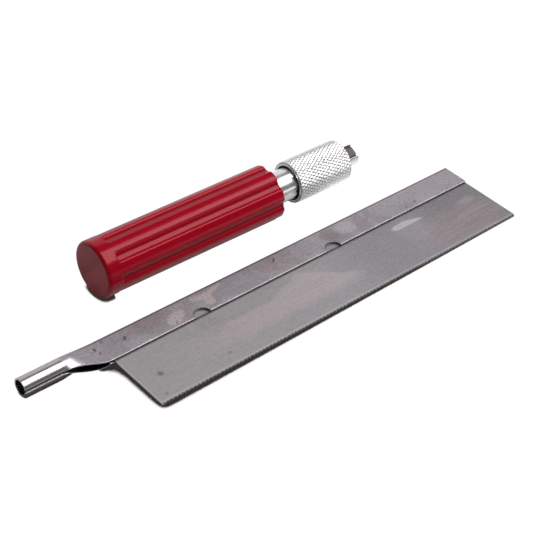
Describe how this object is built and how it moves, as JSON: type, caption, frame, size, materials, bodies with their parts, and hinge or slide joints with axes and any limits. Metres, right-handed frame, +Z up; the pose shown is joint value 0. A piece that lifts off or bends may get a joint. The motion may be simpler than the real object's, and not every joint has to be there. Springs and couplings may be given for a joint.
{
  "type": "razor saw",
  "caption": "Craft razor saw taken apart: fluted plastic handle with a knurled collet chuck, and a loose fine-toothed saw plate in a folded spine with a tubular tang.",
  "frame": {"origin": "middle of the surface that the two pieces lie on, under the centre of their box", "axes": "+X along the handle from its butt to its chuck, +Z up, the blade on the -Y side of the handle"},
  "size_m": [0.15, 0.0538, 0.0159],
  "materials": {
    "grip_plastic": "glossy moulded plastic, deep red",
    "shaft_aluminium": "smooth turned aluminium",
    "sleeve_aluminium": "bright diamond knurl with plain turned ends",
    "collet_aluminium": "dull machined aluminium",
    "plate_steel": "ground spring steel with faint lengthwise grain and light staining",
    "spine_steel": "folded sheet steel, mottled with tarnish, bright on the tang"
  },
  "bodies": {
    "handle": {"grip": "grip_plastic", "chuck_shaft": "shaft_aluminium"},
    "collet": {"collet_ring": "collet_aluminium"},
    "sleeve": {"chuck_sleeve": "sleeve_aluminium"},
    "jaw_1": {"collet_jaw_1": "collet_aluminium"},
    "jaw_2": {"collet_jaw_2": "collet_aluminium"},
    "jaw_3": {"collet_jaw_3": "collet_aluminium"},
    "jaw_4": {"collet_jaw_4": "collet_aluminium"},
    "blade": {"saw_plate": "plate_steel", "blade_spine": "spine_steel"}
  },
  "joints": [
    {"name": "collet_slide", "type": "slide", "parent": "handle", "child": "collet", "axis": [1, 0, 0], "range_m": [0, 0.002]},
    {"name": "sleeve_turn", "type": "hinge", "parent": "collet", "child": "sleeve", "pos_m": [0.02609, 0.01891, 0.00796], "axis": [1, 0, 0], "range_deg": [0, 720.1]},
    {"name": "jaw_1_flex", "type": "hinge", "parent": "collet", "child": "jaw_1", "pos_m": [0.03169, 0.01775, 0.01029], "axis": [0, -0.8949, -0.4462], "range_deg": [0, 1.81]},
    {"name": "jaw_2_flex", "type": "hinge", "parent": "collet", "child": "jaw_2", "pos_m": [0.03169, 0.01658, 0.0068], "axis": [0, 0.4462, -0.8949], "range_deg": [0, 1.81]},
    {"name": "jaw_3_flex", "type": "hinge", "parent": "collet", "child": "jaw_3", "pos_m": [0.03169, 0.02007, 0.00563], "axis": [0, 0.8949, 0.4462], "range_deg": [0, 1.81]},
    {"name": "jaw_4_flex", "type": "hinge", "parent": "collet", "child": "jaw_4", "pos_m": [0.03169, 0.02124, 0.00912], "axis": [0, -0.4462, 0.8949], "range_deg": [0, 1.81]},
    {"name": "blade_lift", "type": "slide", "parent": "handle", "child": "blade", "axis": [0, 0, 1], "range_m": [0, 0.03]}
  ],
  "couplings": [
    {"joint": "sleeve_turn", "follows": "collet_slide", "rad_per_m": 6283.2},
    {"joint": "jaw_1_flex", "follows": "collet_slide", "rad_per_m": 15.708},
    {"joint": "jaw_2_flex", "follows": "collet_slide", "rad_per_m": 15.708},
    {"joint": "jaw_3_flex", "follows": "collet_slide", "rad_per_m": 15.708},
    {"joint": "jaw_4_flex", "follows": "collet_slide", "rad_per_m": 15.708}
  ]
}
